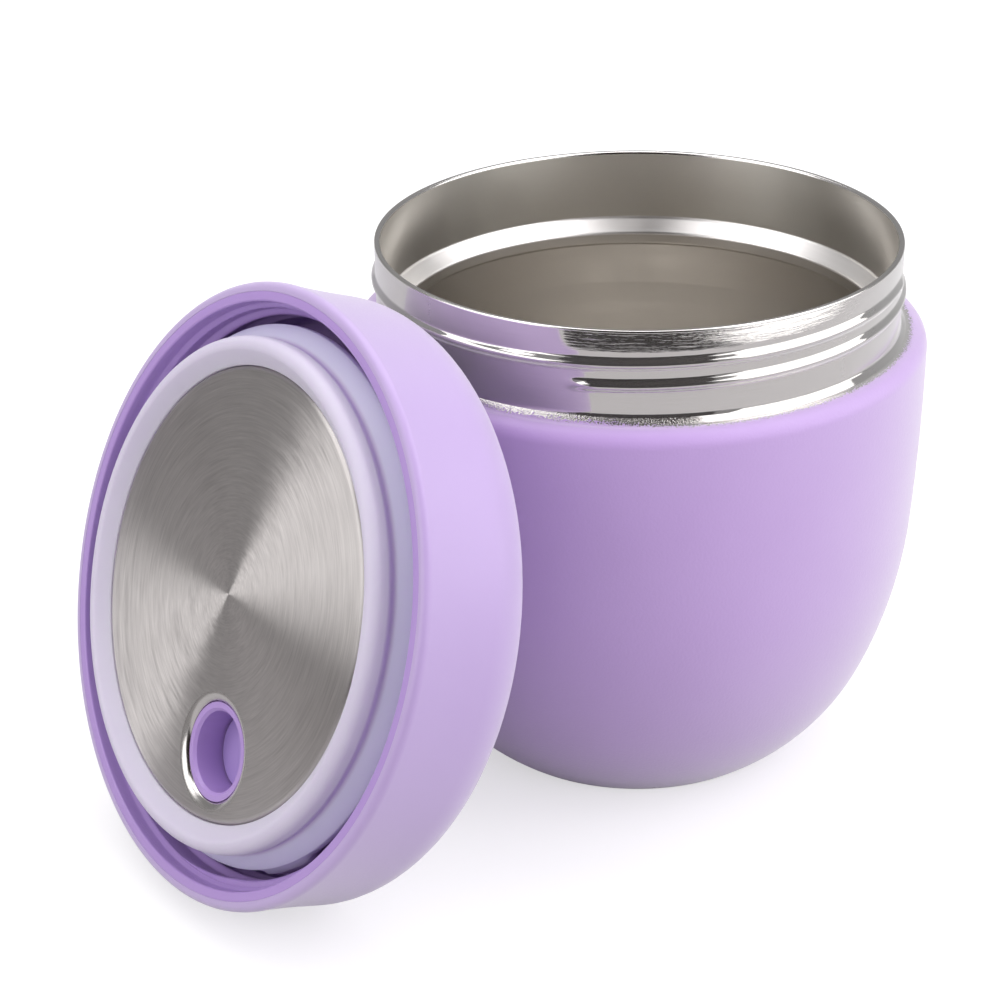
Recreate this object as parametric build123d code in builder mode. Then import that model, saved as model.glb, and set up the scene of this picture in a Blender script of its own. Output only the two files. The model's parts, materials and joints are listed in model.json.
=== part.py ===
"""Insulated food jar: an egg-shaped double-wall steel jar, open, with its screw lid leaning on it.

Millimetres. Z is up and the origin is the centre of the jar's foot, on the table.
The lid's pieces are drawn as (radius, depth): depth 0 is the front of the steel disc, and depth grows
into the lid. Screwed on, the lid is the same drawing turned face down over the neck.
"""

from build123d import *

import os
from math import cos, radians, sin, sqrt

os.makedirs("parts", exist_ok=True)

# ------------------------------------------------------------------ jar, outside
neck_radius = 48.0  # mouth, seal, lid and shoulder follow from it
neck_height = 16.6  # top of the shoulder to the rim
neck_rounding = 1.8  # hollow curve between shoulder and neck
shoulder_height = 83.0  # table to the top of the shoulder
shoulder_shelf = 0.2  # flat between the hollow curve and the shoulder's rounding
shoulder_rounding = 3.0
belly_inset = 1.25  # the upper arc of the belly ends this far inside the widest point ...
belly_drop = 33.7  # ... and this far below it
heel_inset = 8.1  # the lowest arc starts this far inside the widest point ...
heel_rise = 18.3  # ... and this far above the table
foot_radius = 30.3

# ------------------------------------------------------------------ jar, sheet metal and inside
shell_wall = 0.6
liner_wall = 0.4
neck_gap = 0.1  # between shell and liner in the neck
vacuum_gap = 5.0  # between shell and liner at the widest point
rim_rounding = 0.5  # inner edge of the rolled mouth
rim_edge_rounding = 0.3  # outer edge of the rolled mouth
ledge_lift = 1.7  # top of the shoulder to the lower edge of the seal ledge
ledge_rise = 2.4
ledge_width = 2.55
ledge_rounding = 0.7
throat_length = 2.1  # straight throat under the ledge
groove_step = 0.6  # the liner steps out under the throat
groove_length = 1.6
groove_flare = 0.4
bowl_belly_drop = 21.6  # throat to the bowl's widest point
bowl_belly_inset = 1.0  # its upper arc ends this far inside the widest point ...
bowl_belly_length = 17.0  # ... and this far below it
bowl_heel_inset = 6.5  # the lowest arc starts this far inside the widest point ...
bowl_heel_rise = 13.9  # ... and this far above the floor
bowl_floor_inset = 6.3  # the flat floor is this much smaller than the jar's foot
bowl_floor_height = 8.6

# ------------------------------------------------------------------ jar, base
foot_ring_width = 5.3  # flat ring that the jar stands on
base_cup_wall = 0.5
base_cup_lap = 2.6  # flange of the cup on the foot ring
base_cup_height = 3.2
base_cup_rounding = 0.8
press_gap = 0.1  # between pressed or moulded pieces that stay together
base_cover_wall = 0.5
base_cover_recess = 0.5  # table to the cover
base_cover_skirt = 1.4
base_cover_rounding = 0.7
dimple_radius = 2.6
dimple_height = 1.1
dimple_rounding = 0.3
pump_hole_radius = 1.0
bead_radius = 2.2
bead_height = 1.2
getter_radius = 3.2
getter_height = 1.6
getter_reach = 13.0  # from the jar's axis

# ------------------------------------------------------------------ lid, cover
cover_wall = 1.8
cover_flare = 0.7  # the cover is this much wider at its rim than where its rounded edge starts
cover_rounding = 11.0
cover_lip_rounding = 0.4
rim_setback = 1.1  # the cover's rim lies this far behind the disc

# ------------------------------------------------------------------ lid, inner moulding
mould_wall = 1.8
skirt_setback = 0.4  # the skirt's rim lies this far behind the cover's
skirt_mouth_wall = 1.6
skirt_mouth_step = 0.7  # wider mouth that finds the neck
skirt_mouth_length = 2.0
thread_height = 0.75  # rolled bead on the neck
thread_room = 0.65  # from the bead's crest to the skirt's bore
rim_room = 0.6  # from the jar's rim to the floor of the screwed-down lid
floor_rounding = 1.0
foam_thickness = 4.9  # between the ring-shaped floor and the cover
drum_setback = 1.3  # the drum's shoulder lies this far behind the disc's face
drum_rounding = 0.5
boss_rounding = 0.1  # at the foot of the boss that carries the disc

# ------------------------------------------------------------------ lid, disc and seal
disc_inset = 3.0  # the disc is this much smaller than the drum
disc_wall = 0.5
disc_edge = 1.2
disc_rounding = 0.8
seal_gap = 0.3  # round a piece that comes off
seal_wall = 1.1  # at the crease between the lips
seal_crown = 2.0  # the front lip stands this far in front of the disc
seal_crown_inset = 2.3
seal_lip_rounding = 1.2
seal_edge_depth = 0.1  # inner edge of the front lip, behind the disc's face
seal_crease_inset = 0.65
seal_crease_depth = 2.1
seal_crease_rounding = 0.4
seal_band = 1.2  # straight edge of the back lip
seal_back_inset = 2.0
seal_depth = 10.0
seal_rounding = 0.5
seat_gap = 0.3  # between the seal of the screwed-down lid and the ledge

# ------------------------------------------------------------------ lid, vent
vent_turn = -15.5  # degrees round from the lowest point of the lid
vent_edge = 2.0  # from the drawn-in part of the disc to the disc's edge
vent_bore = 7.0
vent_tube_wall = 1.5
vent_tube_setback = 0.8
vent_tube_chamfer = 0.5
vent_lip_rounding = 0.9  # the disc is drawn in round the tube
vent_lip_depth = 1.2
plug_gap = 0.3
plug_recess = 5.5  # from the tube's end to the plug's front
plug_chamfer = 0.3
plug_head_lap = 4.7  # the head is this much wider than the bore
plug_head_height = 2.1
plug_ring_wire = 1.0  # radius of the ring's section
plug_ring_stand = 0.1  # the ring stands this far out of its groove
plug_ring_place = 6.6  # behind the plug's front
plug_groove_play = 0.15
scoop_radius = 3.5  # thumbnail scoop at the plug's head
scoop_depth = 1.5

# ------------------------------------------------------------------ how the lid leans
lid_lean = 19.9  # degrees that its face looks up
lid_turn = 55.5  # degrees that its face is turned from the front to the left
lid_aside = 4.7  # its axis passes beside the jar's by this much
lean_gap = 0.3  # between its back and the shoulder

# ------------------------------------------------------------------ worked out: jar
rim_height = shoulder_height + neck_height
widest_height = shoulder_height - shoulder_rounding
shoulder_ring = neck_radius + neck_rounding + shoulder_shelf  # where the shoulder's rounding starts
shoulder_radius = shoulder_ring + shoulder_rounding
neck_bore = neck_radius - shell_wall - neck_gap - liner_wall
throat_radius = neck_bore - ledge_width
ledge_height = shoulder_height + ledge_lift
throat_height = ledge_height - throat_length
groove_radius = throat_radius + groove_step
bowl_radius = shoulder_radius - shell_wall - vacuum_gap - liner_wall
bowl_widest_height = throat_height - bowl_belly_drop
bowl_floor_radius = foot_radius - bowl_floor_inset
foot_ring_radius = foot_radius - foot_ring_width
base_cup_roof = shell_wall + base_cup_height
dimple_roof = base_cup_roof + dimple_height
base_cover_radius = foot_ring_radius - press_gap

# ------------------------------------------------------------------ worked out: lid
ledge_slope = ledge_rise / ledge_width
seal_lip_radius = throat_radius - seal_gap
seal_crease_radius = seal_lip_radius - seal_crease_inset
seal_radius = neck_bore - seal_gap
seal_flank = (seal_radius - seal_crease_radius) * ledge_slope
seat_depth = seal_crease_depth + (throat_radius - seal_crease_radius) * ledge_slope
closed_height = ledge_height + seat_gap - seat_depth  # table to the disc of the screwed-down lid
floor_depth = rim_height + rim_room - closed_height
floor_back = floor_depth + mould_wall
skirt_bore = neck_radius + thread_height + thread_room
skirt_rim_depth = rim_setback + skirt_setback
cover_depth = floor_back + press_gap + foam_thickness + press_gap + cover_wall
cover_rim_radius = skirt_bore + skirt_mouth_step + skirt_mouth_wall + press_gap + cover_wall
corner_radius = cover_rim_radius - cover_flare - cover_rounding
corner_depth = cover_depth - cover_rounding
drum_radius = seal_crease_radius - seal_wall - seal_gap
disc_radius = drum_radius - disc_inset
boss_depth = disc_wall + press_gap
boss_radius = disc_radius - disc_wall - press_gap
drum_bore = drum_radius - mould_wall
drum_roof = drum_setback + mould_wall

# ------------------------------------------------------------------ worked out: vent
tube_radius = vent_bore + vent_tube_wall
disc_hole_radius = tube_radius + press_gap
lip_radius = disc_hole_radius + vent_lip_rounding
vent_reach = disc_radius - vent_edge - lip_radius - disc_wall  # from the lid's axis
head_depth = cover_depth - plug_head_height
pocket_depth = head_depth - plug_gap
pocket_back = pocket_depth - cover_wall
plug_head_radius = vent_bore + plug_head_lap
pocket_radius = plug_head_radius + plug_gap
pocket_wall_radius = pocket_radius + cover_wall
plug_radius = vent_bore - plug_gap
plug_front = vent_tube_setback + plug_recess
ring_radius = plug_radius + plug_ring_stand - plug_ring_wire
ring_depth = plug_front + plug_ring_place
groove_floor_radius = ring_radius - plug_ring_wire - plug_groove_play
groove_half_width = plug_ring_wire + plug_groove_play

# The lid stands on the rounded back edge of its cover and leans on the jar's shoulder with its flat back,
# or with the same rounded edge where the shoulder is higher than the flat.
lean = radians(lid_lean)
turn = radians(lid_turn)
lid_height = corner_depth * sin(lean) + corner_radius * cos(lean) + cover_rounding
roundings = cover_rounding + lean_gap + shoulder_rounding
flat_touch = (widest_height - lid_height + (roundings + corner_depth) * sin(lean)) / cos(lean)
touch = min(flat_touch, corner_radius)  # from the lid's axis, up its back
touch_rise = lid_height + touch * cos(lean) - corner_depth * sin(lean) - widest_height
lid_distance = shoulder_ring + sqrt(roundings**2 - touch_rise**2)
lid_distance += touch * sin(lean) + corner_depth * cos(lean)
away = Vector(-sin(turn), -cos(turn), 0)  # level, from the jar to the lid
aside = Vector(cos(turn), -sin(turn), 0)
up = Vector(0, 0, 1)
lid_centre = away * lid_distance + aside * lid_aside + up * lid_height
inward = (away * cos(lean) + up * sin(lean)) * -1  # into the lid, square to its disc
downhill = away * sin(lean) - up * cos(lean)  # down the face of the disc

lid_axis = Axis(lid_centre, inward)
lid_plane = Plane(origin=lid_centre, x_dir=downhill, z_dir=inward)
lid_section = Plane(origin=lid_centre, x_dir=downhill, z_dir=downhill.cross(inward))

vent_angle = radians(vent_turn)
vent_centre = lid_plane.from_local_coords(
    Vector(vent_reach * cos(vent_angle), vent_reach * sin(vent_angle), 0)
)
vent_axis = Axis(vent_centre, inward)
vent_plane = Plane(origin=vent_centre, x_dir=downhill, z_dir=inward)
vent_section = Plane(origin=vent_centre, x_dir=downhill, z_dir=downhill.cross(inward))


def cover_form(inset, front):
    """Half section of the cover's outer form, drawn in by inset, from depth front to the back."""
    with BuildSketch() as form:
        with BuildLine():
            back = Line((0, cover_depth - inset), (corner_radius, cover_depth - inset))
            corner = CenterArc((corner_radius, corner_depth), cover_rounding - inset, 90, -90)
            side = TangentArc(corner @ 1, (cover_rim_radius - inset, front), tangent=(0, -1))
            Polyline(side @ 1, (0, front), back @ 0)
        make_face()
    return form.sketch


cover_outside = cover_form(0, rim_setback)
cover_inside = cover_form(cover_wall, rim_setback)
moulding_room = cover_form(cover_wall + press_gap, 0)

# ------------------------------------------------------------------ outer shell
# One drawn sheet: foot ring, egg-shaped belly, rounded shoulder, and the neck that takes the thread.
with BuildPart() as outer_shell:
    with BuildSketch(Plane.XZ):
        with BuildLine():
            neck = Line(
                (neck_radius, rim_height - liner_wall), (neck_radius, shoulder_height + neck_rounding)
            )
            hollow = RadiusArc(neck @ 1, (neck_radius + neck_rounding, shoulder_height), -neck_rounding)
            shelf = Line(hollow @ 1, (shoulder_ring, shoulder_height))
            shoulder = RadiusArc(shelf @ 1, (shoulder_radius, widest_height), shoulder_rounding)
            upper_belly = TangentArc(
                shoulder @ 1,
                (shoulder_radius - belly_inset, widest_height - belly_drop),
                tangent=(0, -1),
            )
            lower_belly = TangentArc(
                upper_belly @ 1,
                (shoulder_radius - heel_inset, heel_rise),
                tangent=upper_belly % 1,
            )
            foot_curve = TangentArc(lower_belly @ 1, (foot_radius, 0), tangent=lower_belly % 1)
            Line(foot_curve @ 1, (foot_ring_radius, 0))
            offset(amount=shell_wall, side=Side.RIGHT)
        make_face()
    revolve(axis=Axis.Z)
outer_shell.part.label = "outer_shell"
export_step(outer_shell.part, "parts/outer_shell.step")

# ------------------------------------------------------------------ inner liner
# Its mouth is rolled out over the shell's edge, and the lid's seal lands on the sloping ledge.
with BuildPart() as inner_liner:
    with BuildSketch(Plane.XZ):
        with BuildLine():
            mouth = FilletPolyline(
                (neck_radius, rim_height),
                (neck_bore, rim_height),
                (neck_bore, ledge_height + ledge_rise),
                (throat_radius, ledge_height),
                (throat_radius, throat_height),
                (groove_radius, throat_height - groove_step),
                (groove_radius + groove_flare, throat_height - groove_step - groove_length),
                radius=(rim_rounding, ledge_rounding, ledge_rounding, groove_step, groove_step),
            )
            upper_bowl = TangentArc(mouth @ 1, (bowl_radius, bowl_widest_height), tangent=mouth % 1)
            middle_bowl = TangentArc(
                upper_bowl @ 1,
                (bowl_radius - bowl_belly_inset, bowl_widest_height - bowl_belly_length),
                tangent=upper_bowl % 1,
            )
            lower_bowl = TangentArc(
                middle_bowl @ 1,
                (bowl_radius - bowl_heel_inset, bowl_floor_height + bowl_heel_rise),
                tangent=middle_bowl % 1,
            )
            heel = TangentArc(
                lower_bowl @ 1, (bowl_floor_radius, bowl_floor_height), tangent=lower_bowl % 1
            )
            Line(heel @ 1, (0, bowl_floor_height))
            offset(amount=liner_wall, side=Side.LEFT)
        make_face()
    revolve(axis=Axis.Z)
    mouth_edges = edges().filter_by(GeomType.CIRCLE).group_by(Axis.Z)[-1]
    fillet(mouth_edges.sort_by(SortBy.RADIUS)[-1], rim_edge_rounding)
inner_liner.part.label = "inner_liner"
export_step(inner_liner.part, "parts/inner_liner.step")

# ------------------------------------------------------------------ base cup
# Closes the shell round the vacuum; the pump-out hole is in a dimple at its centre.
with BuildPart() as base_cup:
    with BuildSketch(Plane.XZ):
        with BuildLine():
            FilletPolyline(
                (foot_ring_radius + base_cup_lap, shell_wall),
                (foot_ring_radius, shell_wall),
                (foot_ring_radius, base_cup_roof),
                (dimple_radius + dimple_height, base_cup_roof),
                (dimple_radius, dimple_roof),
                (pump_hole_radius, dimple_roof),
                radius=(base_cup_rounding, base_cup_rounding, base_cup_rounding, dimple_rounding),
            )
            offset(amount=base_cup_wall, side=Side.RIGHT)
        make_face()
    revolve(axis=Axis.Z)
base_cup.part.label = "base_cup"
export_step(base_cup.part, "parts/base_cup.step")

# ------------------------------------------------------------------ vacuum seal
# Bead of solder glass that fills the dimple and plugs the pump-out hole.
with BuildPart() as vacuum_seal:
    with BuildSketch(Plane.XZ):
        with BuildLine():
            bead = TangentArc(
                (0, dimple_roof - bead_height), (bead_radius, dimple_roof), tangent=(1, 0)
            )
            Polyline(
                bead @ 1,
                (pump_hole_radius - press_gap, dimple_roof),
                (pump_hole_radius - press_gap, dimple_roof + base_cup_wall / 2),
                (0, dimple_roof + base_cup_wall / 2),
                bead @ 0,
            )
        make_face()
    revolve(axis=Axis.Z)
vacuum_seal.part.label = "vacuum_seal"
export_step(vacuum_seal.part, "parts/vacuum_seal.step")

# ------------------------------------------------------------------ getter
# Pill on the vacuum side of the base cup that takes up stray gas.
with BuildPart() as getter:
    with BuildSketch(Plane.XY.offset(base_cup_roof + base_cup_wall)):
        with Locations((getter_reach, 0)):
            Circle(getter_radius)
    extrude(amount=getter_height)
    fillet(edges().group_by(Axis.Z)[-1], getter_height / 4)
getter.part.label = "getter"
export_step(getter.part, "parts/getter.step")

# ------------------------------------------------------------------ base cover
# Thin disc pressed into the foot ring, a little above the table.
with BuildPart() as base_cover:
    with BuildSketch(Plane.XZ):
        with BuildLine():
            FilletPolyline(
                (0, base_cover_recess),
                (base_cover_radius, base_cover_recess),
                (base_cover_radius, base_cover_recess + base_cover_skirt),
                radius=base_cover_rounding,
            )
            offset(amount=base_cover_wall, side=Side.LEFT)
        make_face()
    revolve(axis=Axis.Z)
base_cover.part.label = "base_cover"
export_step(base_cover.part, "parts/base_cover.step")

# ------------------------------------------------------------------ lid cover
# Outer cover with a rounded back edge, and a pocket in its back for the head of the vent plug.
with BuildPart() as lid_cover:
    with BuildSketch(lid_section) as cover_section:
        add(cover_outside)
        add(cover_inside, mode=Mode.SUBTRACT)
        cover_lip = lid_section.from_local_coords((cover_rim_radius, rim_setback))
        fillet(cover_section.vertices().sort_by_distance(cover_lip)[0], cover_lip_rounding)
    revolve(axis=lid_axis)
    with BuildSketch(vent_plane.offset(pocket_back)):
        Circle(pocket_wall_radius)
    extrude(amount=cover_depth - cover_wall / 2 - pocket_back)
    with BuildSketch(vent_plane.offset(pocket_depth)):
        Circle(pocket_radius)
    extrude(amount=plug_head_height + plug_gap, mode=Mode.SUBTRACT)
    with BuildSketch(vent_plane.offset(pocket_back)):
        Circle(vent_bore)
    extrude(amount=cover_wall, mode=Mode.SUBTRACT)
    with Locations(vent_plane.offset(cover_depth + scoop_radius - scoop_depth)):
        with Locations((-pocket_radius, 0)):
            Sphere(scoop_radius, mode=Mode.SUBTRACT)
lid_cover.part.label = "lid_cover"
export_step(lid_cover.part, "parts/lid_cover.step")

# ------------------------------------------------------------------ inner moulding
# Threaded skirt, ring-shaped floor, the drum that carries seal and disc, and the vent tube.
with BuildPart() as inner_cap:
    with BuildSketch(lid_section):
        with BuildLine():
            bore = FilletPolyline(
                (boss_radius, boss_depth),
                (boss_radius, drum_setback),
                (drum_radius, drum_setback),
                (drum_radius, floor_depth),
                (skirt_bore, floor_depth),
                (skirt_bore, skirt_rim_depth + skirt_mouth_length + skirt_mouth_step),
                (skirt_bore + skirt_mouth_step, skirt_rim_depth + skirt_mouth_length),
                (skirt_bore + skirt_mouth_step, skirt_rim_depth),
                radius=(
                    boss_rounding,
                    drum_rounding,
                    floor_rounding,
                    floor_rounding,
                    drum_rounding,
                    drum_rounding,
                ),
            )
            Polyline(
                bore @ 1,
                (cover_rim_radius, skirt_rim_depth),
                (cover_rim_radius, floor_back),
                (drum_bore, floor_back),
                (drum_bore, drum_roof),
                (0, drum_roof),
                (0, boss_depth),
                bore @ 0,
            )
        make_face()
        add(moulding_room, mode=Mode.INTERSECT)
    revolve(axis=lid_axis)
    with BuildSketch(vent_plane.offset(boss_depth)):
        Circle(lip_radius + press_gap)
    extrude(amount=vent_lip_depth + press_gap - boss_depth, mode=Mode.SUBTRACT)
    with BuildSketch(vent_plane.offset(vent_tube_setback)):
        Circle(tube_radius)
    extrude(amount=pocket_back - vent_tube_setback)
    with BuildSketch(vent_plane.offset(vent_tube_setback)):
        Circle(vent_bore)
    extrude(amount=pocket_back - vent_tube_setback, mode=Mode.SUBTRACT)
    tube_front = vent_plane.offset(vent_tube_setback).origin
    tube_edges = edges().filter_by(GeomType.CIRCLE).sort_by_distance(tube_front)
    chamfer(tube_edges[0], vent_tube_chamfer)
inner_cap.part.label = "inner_cap"
export_step(inner_cap.part, "parts/inner_cap.step")

# ------------------------------------------------------------------ foam core
# Fills the drum and the space between the ring-shaped floor and the cover.
with BuildPart() as foam_core:
    with BuildSketch(lid_section):
        with BuildLine():
            Polyline(
                (0, drum_roof + press_gap),
                (drum_bore - press_gap, drum_roof + press_gap),
                (drum_bore - press_gap, floor_back + press_gap),
                (cover_rim_radius, floor_back + press_gap),
                (cover_rim_radius, cover_depth),
                (0, cover_depth),
                close=True,
            )
        make_face()
        add(moulding_room, mode=Mode.INTERSECT)
    revolve(axis=lid_axis)
    with BuildSketch(vent_plane):
        Circle(tube_radius + press_gap)
    extrude(amount=cover_depth, mode=Mode.SUBTRACT)
    with BuildSketch(vent_plane.offset(pocket_back - press_gap)):
        Circle(pocket_wall_radius + press_gap)
    extrude(amount=cover_depth - pocket_back, mode=Mode.SUBTRACT)
foam_core.part.label = "foam_core"
export_step(foam_core.part, "parts/foam_core.step")

# ------------------------------------------------------------------ steel disc
# Its edge is turned back over the drum, and it is drawn in round the vent tube.
with BuildPart() as steel_disc:
    with BuildSketch(lid_section):
        with BuildLine():
            FilletPolyline((0, 0), (disc_radius, 0), (disc_radius, disc_edge), radius=disc_rounding)
            offset(amount=disc_wall, side=Side.LEFT)
        make_face()
    revolve(axis=lid_axis)
    with BuildSketch(vent_plane):
        Circle(lip_radius + disc_wall)
    extrude(amount=disc_wall, mode=Mode.SUBTRACT)
    with BuildSketch(vent_section):
        with BuildLine():
            FilletPolyline(
                (lip_radius + disc_wall, 0),
                (disc_hole_radius, 0),
                (disc_hole_radius, vent_lip_depth),
                radius=vent_lip_rounding,
            )
            offset(amount=disc_wall, side=Side.RIGHT)
        make_face()
    revolve(axis=vent_axis)
steel_disc.part.label = "steel_disc"
export_step(steel_disc.part, "parts/steel_disc.step")

# ------------------------------------------------------------------ seal ring
# Soft ring round the drum: the front lip wipes the throat, the back lip lands on the ledge.
with BuildPart() as seal_ring:
    with BuildSketch(lid_section):
        with BuildLine():
            lips = FilletPolyline(
                (disc_radius + seal_gap, drum_setback - seal_gap),
                (disc_radius + seal_gap, seal_edge_depth),
                (seal_lip_radius - seal_crown_inset, -seal_crown),
                (seal_lip_radius, -seal_crown),
                (seal_lip_radius, (seal_crease_depth - seal_edge_depth) / 2),
                (seal_crease_radius, seal_crease_depth),
                (seal_radius, seal_crease_depth + seal_flank),
                (seal_radius, seal_crease_depth + seal_flank + seal_band),
                (seal_radius - seal_back_inset, seal_depth),
                (drum_radius + seal_gap, seal_depth),
                radius=(
                    seal_edge_depth,
                    seal_lip_rounding,
                    seal_lip_rounding,
                    seal_crease_rounding,
                    seal_crease_rounding,
                    seal_rounding,
                    seal_rounding,
                    seal_rounding,
                ),
            )
            Polyline(lips @ 1, (drum_radius + seal_gap, drum_setback - seal_gap), lips @ 0)
        make_face()
    revolve(axis=lid_axis)
seal_ring.part.label = "seal_ring"
export_step(seal_ring.part, "parts/seal_ring.step")

# ------------------------------------------------------------------ vent plug
# Stem with a ring groove, pulled out by its head from the back of the lid.
with BuildPart() as vent_plug:
    with BuildSketch(vent_section):
        with BuildLine():
            Polyline(
                (0, plug_front),
                (plug_radius - plug_chamfer, plug_front),
                (plug_radius, plug_front + plug_chamfer),
                (plug_radius, ring_depth - groove_half_width),
                (groove_floor_radius, ring_depth - groove_half_width),
                (groove_floor_radius, ring_depth + groove_half_width),
                (plug_radius, ring_depth + groove_half_width),
                (plug_radius, head_depth),
                (plug_head_radius, head_depth),
                (plug_head_radius, cover_depth - plug_chamfer),
                (plug_head_radius - plug_chamfer, cover_depth),
                (0, cover_depth),
                close=True,
            )
        make_face()
    revolve(axis=vent_axis)
vent_plug.part.label = "vent_plug"
export_step(vent_plug.part, "parts/vent_plug.step")

# ------------------------------------------------------------------ plug ring
with BuildPart() as plug_ring:
    with BuildSketch(vent_section):
        with Locations((ring_radius, ring_depth)):
            Circle(plug_ring_wire)
    revolve(axis=vent_axis)
plug_ring.part.label = "plug_ring"
export_step(plug_ring.part, "parts/plug_ring.step")
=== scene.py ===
"""Insulated food jar: looks for the double-wall steel jar and the screw lid that leans on it.

The pieces are turned as on a lathe: an outline of (radius, height) points in millimetres is spun
round an axis. The jar's axis is Z. The lid's pieces are turned upright first, with the steel disc's
face at height 0 and the lid's back below it, and are then set in the lid's place.
"""

import cmath
import json
from math import atan2, cos, degrees, hypot, pi, radians, sin

import bpy
from mathutils import Matrix, Vector


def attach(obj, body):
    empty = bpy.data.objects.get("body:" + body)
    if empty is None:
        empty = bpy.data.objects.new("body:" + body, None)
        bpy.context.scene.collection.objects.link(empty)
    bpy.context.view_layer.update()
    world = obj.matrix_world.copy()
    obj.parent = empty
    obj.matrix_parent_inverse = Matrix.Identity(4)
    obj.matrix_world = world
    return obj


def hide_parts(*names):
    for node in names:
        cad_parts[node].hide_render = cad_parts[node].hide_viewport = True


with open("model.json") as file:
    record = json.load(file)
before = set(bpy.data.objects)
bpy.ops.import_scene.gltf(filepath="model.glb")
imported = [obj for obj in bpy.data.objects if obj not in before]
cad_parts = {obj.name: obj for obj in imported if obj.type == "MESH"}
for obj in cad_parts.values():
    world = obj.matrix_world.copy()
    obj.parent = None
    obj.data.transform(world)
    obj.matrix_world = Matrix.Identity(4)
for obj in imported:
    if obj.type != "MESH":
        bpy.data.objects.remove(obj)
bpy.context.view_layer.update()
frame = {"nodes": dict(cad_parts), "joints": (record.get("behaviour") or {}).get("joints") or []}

MM = 0.001

# ------------------------------------------------------------------ jar, sizes in millimetres
RIM_HEIGHT = 99.6
RIM_SHEET = 0.4
NECK_RADIUS = 48.0
NECK_INSIDE = 47.4  # the shell's sheet, seen from the vacuum
MOUTH_RADIUS = 46.9
HOLLOW = 1.8  # rounding at the neck's foot
SHOULDER_TOP = 83.0
SHOULDER_RING = 50.0
SHOULDER_ROUNDING = 3.0
SHELL_SHEET = 0.6
FOOT_RADIUS = 30.3
BASE_OPENING = 25.0
COAT_EDGE = 49.7  # radius at which the powder coat ends on the shoulder

LEDGE_TOP = 86.0
LEDGE_FOOT = 83.6
THROAT_RADIUS = 44.35
BOWL_FLOOR = 8.6
BOWL_FLOOR_RADIUS = 24.0

THREAD_HEIGHT = 0.75
THREAD_HALF_WIDTH = 1.25
THREAD_LEAD = 3.9
THREAD_TOP = 94.5
THREAD_START = 78.0  # degrees from the front towards the right
THREAD_TURN = 456.5  # degrees from one end of the thread to the other
THREAD_FADE = 7.0  # degrees in which an end sinks into the neck

# ------------------------------------------------------------------ lid, sizes in millimetres
RIM_LEVEL = -1.1
RIM_FLOOR = -2.6  # where the cover's new rim starts
COVER_RADIUS = 53.6
COVER_INSIDE = 51.78
MOULDING_RIM_LEVEL = -1.15
MOULDING_RIM_FLOOR = -2.4
MOULDING_RADIUS = 51.8
MOULDING_MOUTH = 50.1
SKIRT_RADIUS = 49.35
SKIRT_BACKING = 49.45
SKIRT_TOP = -4.3
SKIRT_FLOOR = -16.9
RIDGE_HEIGHT = 1.05
RIDGE_HALF_WIDTH = 1.3
RIDGE_LEAD = 4.0
RIDGE_START = 4.6  # depth under the disc's face
RIDGE_TURN = 900.0  # degrees
RIDGE_FADE = 20.0  # degrees
DISC_RADIUS = 39.0
DISC_SHEET = 0.5
DISC_EDGE = -1.2
LIP_RADIUS = 10.3
LIP_HOLE = 8.6
LIP_DEPTH = 1.2
SEAL_HOLE = 39.05
SEAL_BACK_HOLE = 42.3
TAB_REACH = 47.35
TAB_ANGLE = 36.5  # degrees round the lid
TAB_HALF_ANGLE = 9.0


# ------------------------------------------------------------------ outlines
def arc(centre, radius, first, last, steps):
    """Points of an arc round centre, from one angle to another in degrees."""
    angles = [radians(first + (last - first) * step / steps) for step in range(steps + 1)]
    return [(centre[0] + radius * cos(a), centre[1] + radius * sin(a)) for a in angles]


def rounded(corners, steps=6):
    """Points through corners (radius, height, rounding): a corner with a rounding becomes an arc."""
    line = []
    for index, (x, y, rounding) in enumerate(corners):
        here = complex(x, y)
        if not rounding:
            line.append((x, y))
            continue
        before = complex(*corners[index - 1][:2]) - here
        after = complex(*corners[index + 1][:2]) - here
        before /= abs(before)
        after /= abs(after)
        half = abs(cmath.phase(after / before)) / 2
        middle = (before + after) / abs(before + after)
        centre = here + middle * rounding / sin(half)
        start = here + before * rounding * cos(half) / sin(half) - centre
        turn = cmath.phase((here + after * rounding * cos(half) / sin(half) - centre) / start)
        for step in range(steps + 1):
            point = centre + start * cmath.exp(1j * turn * step / steps)
            line.append((point.real, point.imag))
    return line


def bow(line, leaving, end, steps):
    """Adds the arc that leaves the line's last point in direction leaving and reaches end.

    Gives the direction in which the arc arrives.
    """
    start = complex(*line[-1])
    chord = complex(*end) - start
    turn = 2 * cmath.phase(chord / leaving)
    for step in range(1, steps + 1):
        point = start + chord * (cmath.exp(1j * turn * step / steps) - 1) / (cmath.exp(1j * turn) - 1)
        line.append((point.real, point.imag))
    return leaving * cmath.exp(1j * turn)


def stretch(start, end, steps):
    """Evenly spaced points of a straight run, without its last one."""
    return [
        (start[0] + (end[0] - start[0]) * step / steps, start[1] + (end[1] - start[1]) * step / steps)
        for step in range(steps)
    ]


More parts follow.
